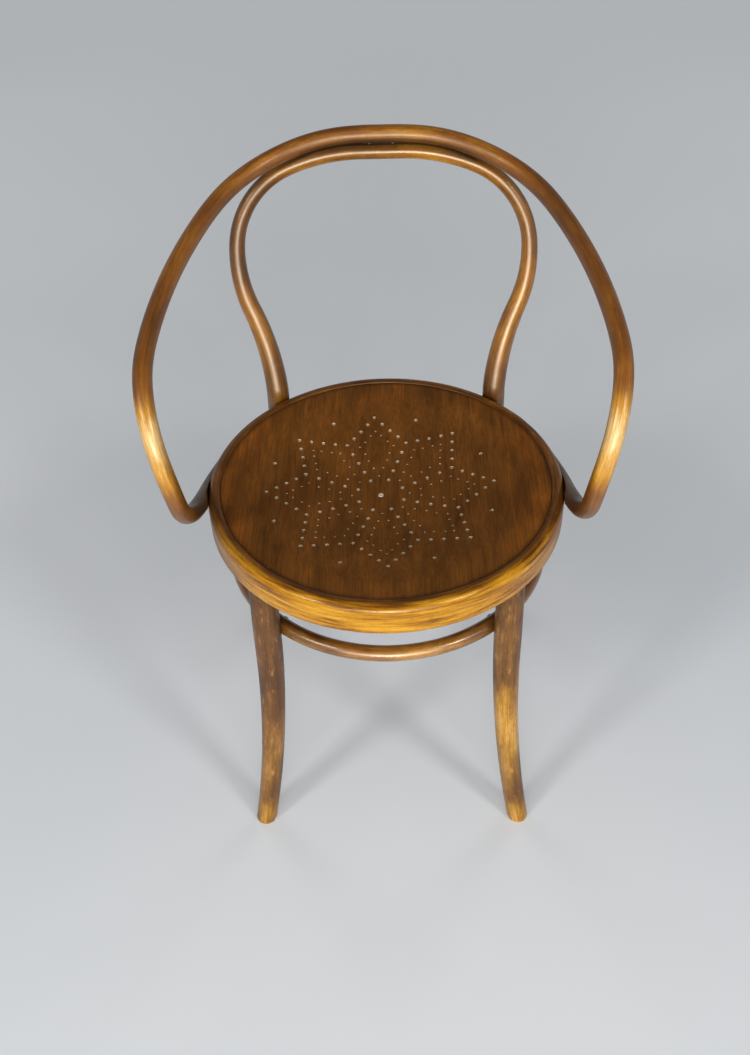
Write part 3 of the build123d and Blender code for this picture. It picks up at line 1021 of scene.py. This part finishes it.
arm_places = [
    radial_place(seat_y, frame_inner - screw_proud, angle, arm_screw_z, inward, turn)
    for angle, turn in zip((arm_screw_angle, 180 - arm_screw_angle), arm_slots)
]
fasteners("end_screws", arm_places, screw_shape(arm_screw_length), "arm_end_screws")
lap_place = back_top - lap_out * (back_top_radius - lap_sink)
lap_places = [
    (lap_place + sideways * side, -lap_out, turn)
    for side, turn in zip((lap_spread, -lap_spread), lap_slots)
]
lap_shape = screw_shape(lap_screw_length, lap_head_radius)
fasteners("top_screws", lap_places, lap_shape, "lap_screws")

# The square nuts keep their solid
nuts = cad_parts["back_nuts"]
nuts.data.materials.clear()
nuts.data.materials.append(dark_steel)

# Floor that runs out into a plain pale backdrop
backdrop_tint = (0.92, 0.97, 1.0, 1)
backdrop_level = 0.46
backdrop_near, backdrop_far = 0.9, 3.0
floor_reach = 9


def floor_paint():
    """Pale matt paint that turns into the backdrop's own glow further out."""
    material = bpy.data.materials.new("floor_paint")
    s = Nodes(material)
    surface = s.tree.nodes["Principled BSDF"]
    place = s.put("ShaderNodeTexCoord").outputs["Object"]
    cloud = s.noise(place, (0.8, 0.8, 0.8), rough=0.5)
    shade = s.ramp(cloud, [(0.35, colour(214, 217, 221)), (0.65, colour(221, 223, 225))])
    s.feed(surface.inputs["Base Color"], shade)
    surface.inputs["Roughness"].default_value = 0.9
    surface.inputs["Specular IOR Level"].default_value = 0.1
    far = s.tree.nodes.new("ShaderNodeVectorMath")
    far.operation = "LENGTH"
    s.feed(far.inputs[0], place)
    beyond = s.span(far.outputs["Value"], backdrop_near, backdrop_far)
    away = s.math("MULTIPLY", s.shown_rays(), beyond)
    glow = s.put("ShaderNodeEmission", Color=backdrop_tint, Strength=backdrop_level)
    blend = s.put("ShaderNodeMixShader", Fac=away)
    s.feed(blend.inputs[1], surface.outputs["BSDF"])
    s.feed(blend.inputs[2], glow.outputs["Emission"])
    s.feed(s.tree.nodes["Material Output"].inputs["Surface"], blend.outputs["Shader"])
    return material


floor_mesh = bpy.data.meshes.new("floor")
corners = [(x * floor_reach, y * floor_reach, 0) for x, y in ((-1, -1), (1, -1), (1, 1), (-1, 1))]
floor_mesh.from_pydata(corners, [], [(0, 1, 2, 3)])
floor_mesh.materials.append(floor_paint())
floor = bpy.data.objects.new("floor", floor_mesh)
bpy.context.scene.collection.objects.link(floor)


def soft_light(name, place, aim, width, height, power, in_reflections=True):
    """Rectangular lamp, in metres and watts."""
    lamp = bpy.data.lights.new(name, "AREA")
    lamp.shape = "RECTANGLE"
    lamp.size = width
    lamp.size_y = height
    lamp.energy = power
    holder = bpy.data.objects.new(name, lamp)
    holder.location = place
    holder.rotation_euler = (Vector(aim) - Vector(place)).to_track_quat("-Z", "Y").to_euler()
    holder.visible_glossy = in_reflections
    bpy.context.scene.collection.objects.link(holder)


soft_light("front_light", (0, -4.4, 1.4), (0, 0, 0.6), 4.8, 2.0, 160)
soft_light("key_light", (0, -3.4, 0.95), (0, 0, 0.6), 1.1, 0.9, 42)
soft_light("left_light", (-2.2, -2.2, 2.6), (0, 0, 0.45), 0.7, 0.7, 38)
soft_light("right_light", (2.2, -2.2, 2.6), (0, 0, 0.45), 0.7, 0.7, 38)
soft_light("rear_left_light", (-2.3, 2.8, 1.1), (0, 0, 0.45), 1.6, 1.2, 32, False)
soft_light("rear_right_light", (2.3, 2.8, 1.1), (0, 0, 0.45), 1.6, 1.2, 32, False)

# World: a dim fill, stronger from the front, and the backdrop for the rays that show it
fill_front, fill_rear = 0.16, 0.1
zenith_level = 0.1
world = bpy.data.worlds.new("studio")
bpy.context.scene.world = world
sky = Nodes(world)
way = sky.put("ShaderNodeTexCoord").outputs["Generated"]
parts = sky.put("ShaderNodeSeparateXYZ", Vector=way).outputs
fill = sky.span(parts["Y"], -1, 0.4, start=fill_front, end=fill_rear, kind="LINEAR")
glow = sky.span(parts["Z"], 0, 0.9, start=backdrop_level, end=zenith_level, kind="LINEAR")
level = sky.put("ShaderNodeMix", Factor=sky.shown_rays(), A=fill, B=glow)
backdrop = sky.tree.nodes["Background"]
sky.feed(backdrop.inputs["Strength"], level.outputs["Result"])
backdrop.inputs["Color"].default_value = backdrop_tint

# Camera at the photograph's viewing angle, with its focal length in pixels of the picture
focal_pixels, picture_height = 1100, 1055
sensor_width = 36
camera_place = (0.0159, -1.0266, 1.3089)
pitch, yaw, roll = radians(42.983), radians(-1.75), radians(-1.949)
ahead = Vector((sin(yaw) * cos(pitch), cos(yaw) * cos(pitch), -sin(pitch)))
right = Vector((cos(yaw), -sin(yaw), 0))
up = right.cross(ahead)
right, up = right * cos(roll) + up * sin(roll), up * cos(roll) - right * sin(roll)
camera = bpy.data.objects.new("camera", bpy.data.cameras.new("camera"))
bpy.context.scene.collection.objects.link(camera)
camera.data.sensor_width = sensor_width
camera.data.lens = sensor_width * focal_pixels / picture_height
turned = Matrix((right, up, -ahead)).transposed().to_4x4()
camera.matrix_world = Matrix.Translation(camera_place) @ turned
camera.data.clip_end = 60
bpy.context.scene.camera = camera
bpy.context.scene.view_settings.view_transform = "Standard"
